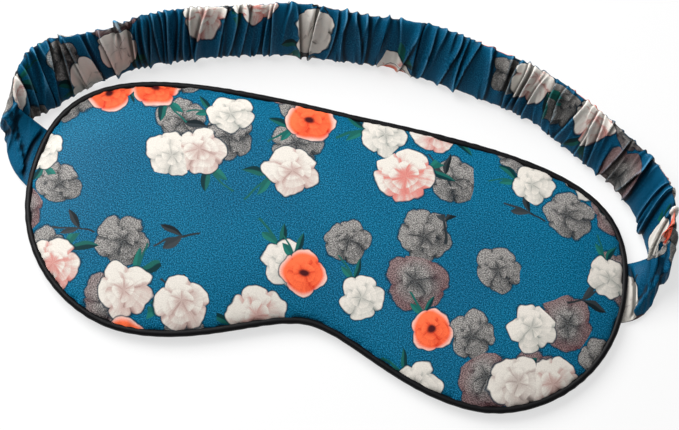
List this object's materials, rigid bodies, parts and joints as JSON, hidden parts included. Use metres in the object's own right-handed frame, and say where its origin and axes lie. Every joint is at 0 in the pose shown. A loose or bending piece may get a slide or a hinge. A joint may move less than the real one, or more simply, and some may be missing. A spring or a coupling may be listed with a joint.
{
  "type": "sleep mask",
  "caption": "Padded satin sleep mask with a piped edge and a nose notch, held on by a gathered elastic strap sewn into its side seams.",
  "frame": {"origin": "on the back face, half way up the mask and midway between its sides", "axes": "+X across the mask to the right as its front is seen, +Y towards the brow edge and the strap, +Z out of the front"},
  "size_m": [0.2302, 0.1286, 0.0224],
  "materials": {
    "front_satin": "printed satin, blue ground with flowers, soft sheen",
    "padding_fill": "white polyester wadding",
    "lining_cloth": "dull black plain weave",
    "back_satin": "plain blue satin, soft sheen",
    "piping_satin": "black satin bias strip",
    "piping_cord": "white cotton cord",
    "strap_satin": "gathered printed satin, soft sheen",
    "elastic": "white woven elastic"
  },
  "bodies": {
    "mask": {"front_panel": "front_satin", "padding": "padding_fill", "blackout_lining": "lining_cloth", "back_panel": "back_satin", "piping_cover": "piping_satin", "piping_cord": "piping_cord", "left_strap_end": "strap_satin", "right_strap_end": "strap_satin"},
    "strap": {"strap_sleeve": "strap_satin", "strap_elastic": "elastic"}
  },
  "joints": [
    {"name": "strap_swing", "type": "hinge", "parent": "mask", "child": "strap", "pos_m": [0, 0.0045, 0.0019], "axis": [1, 0, 0], "range_deg": [-110, 150]}
  ]
}
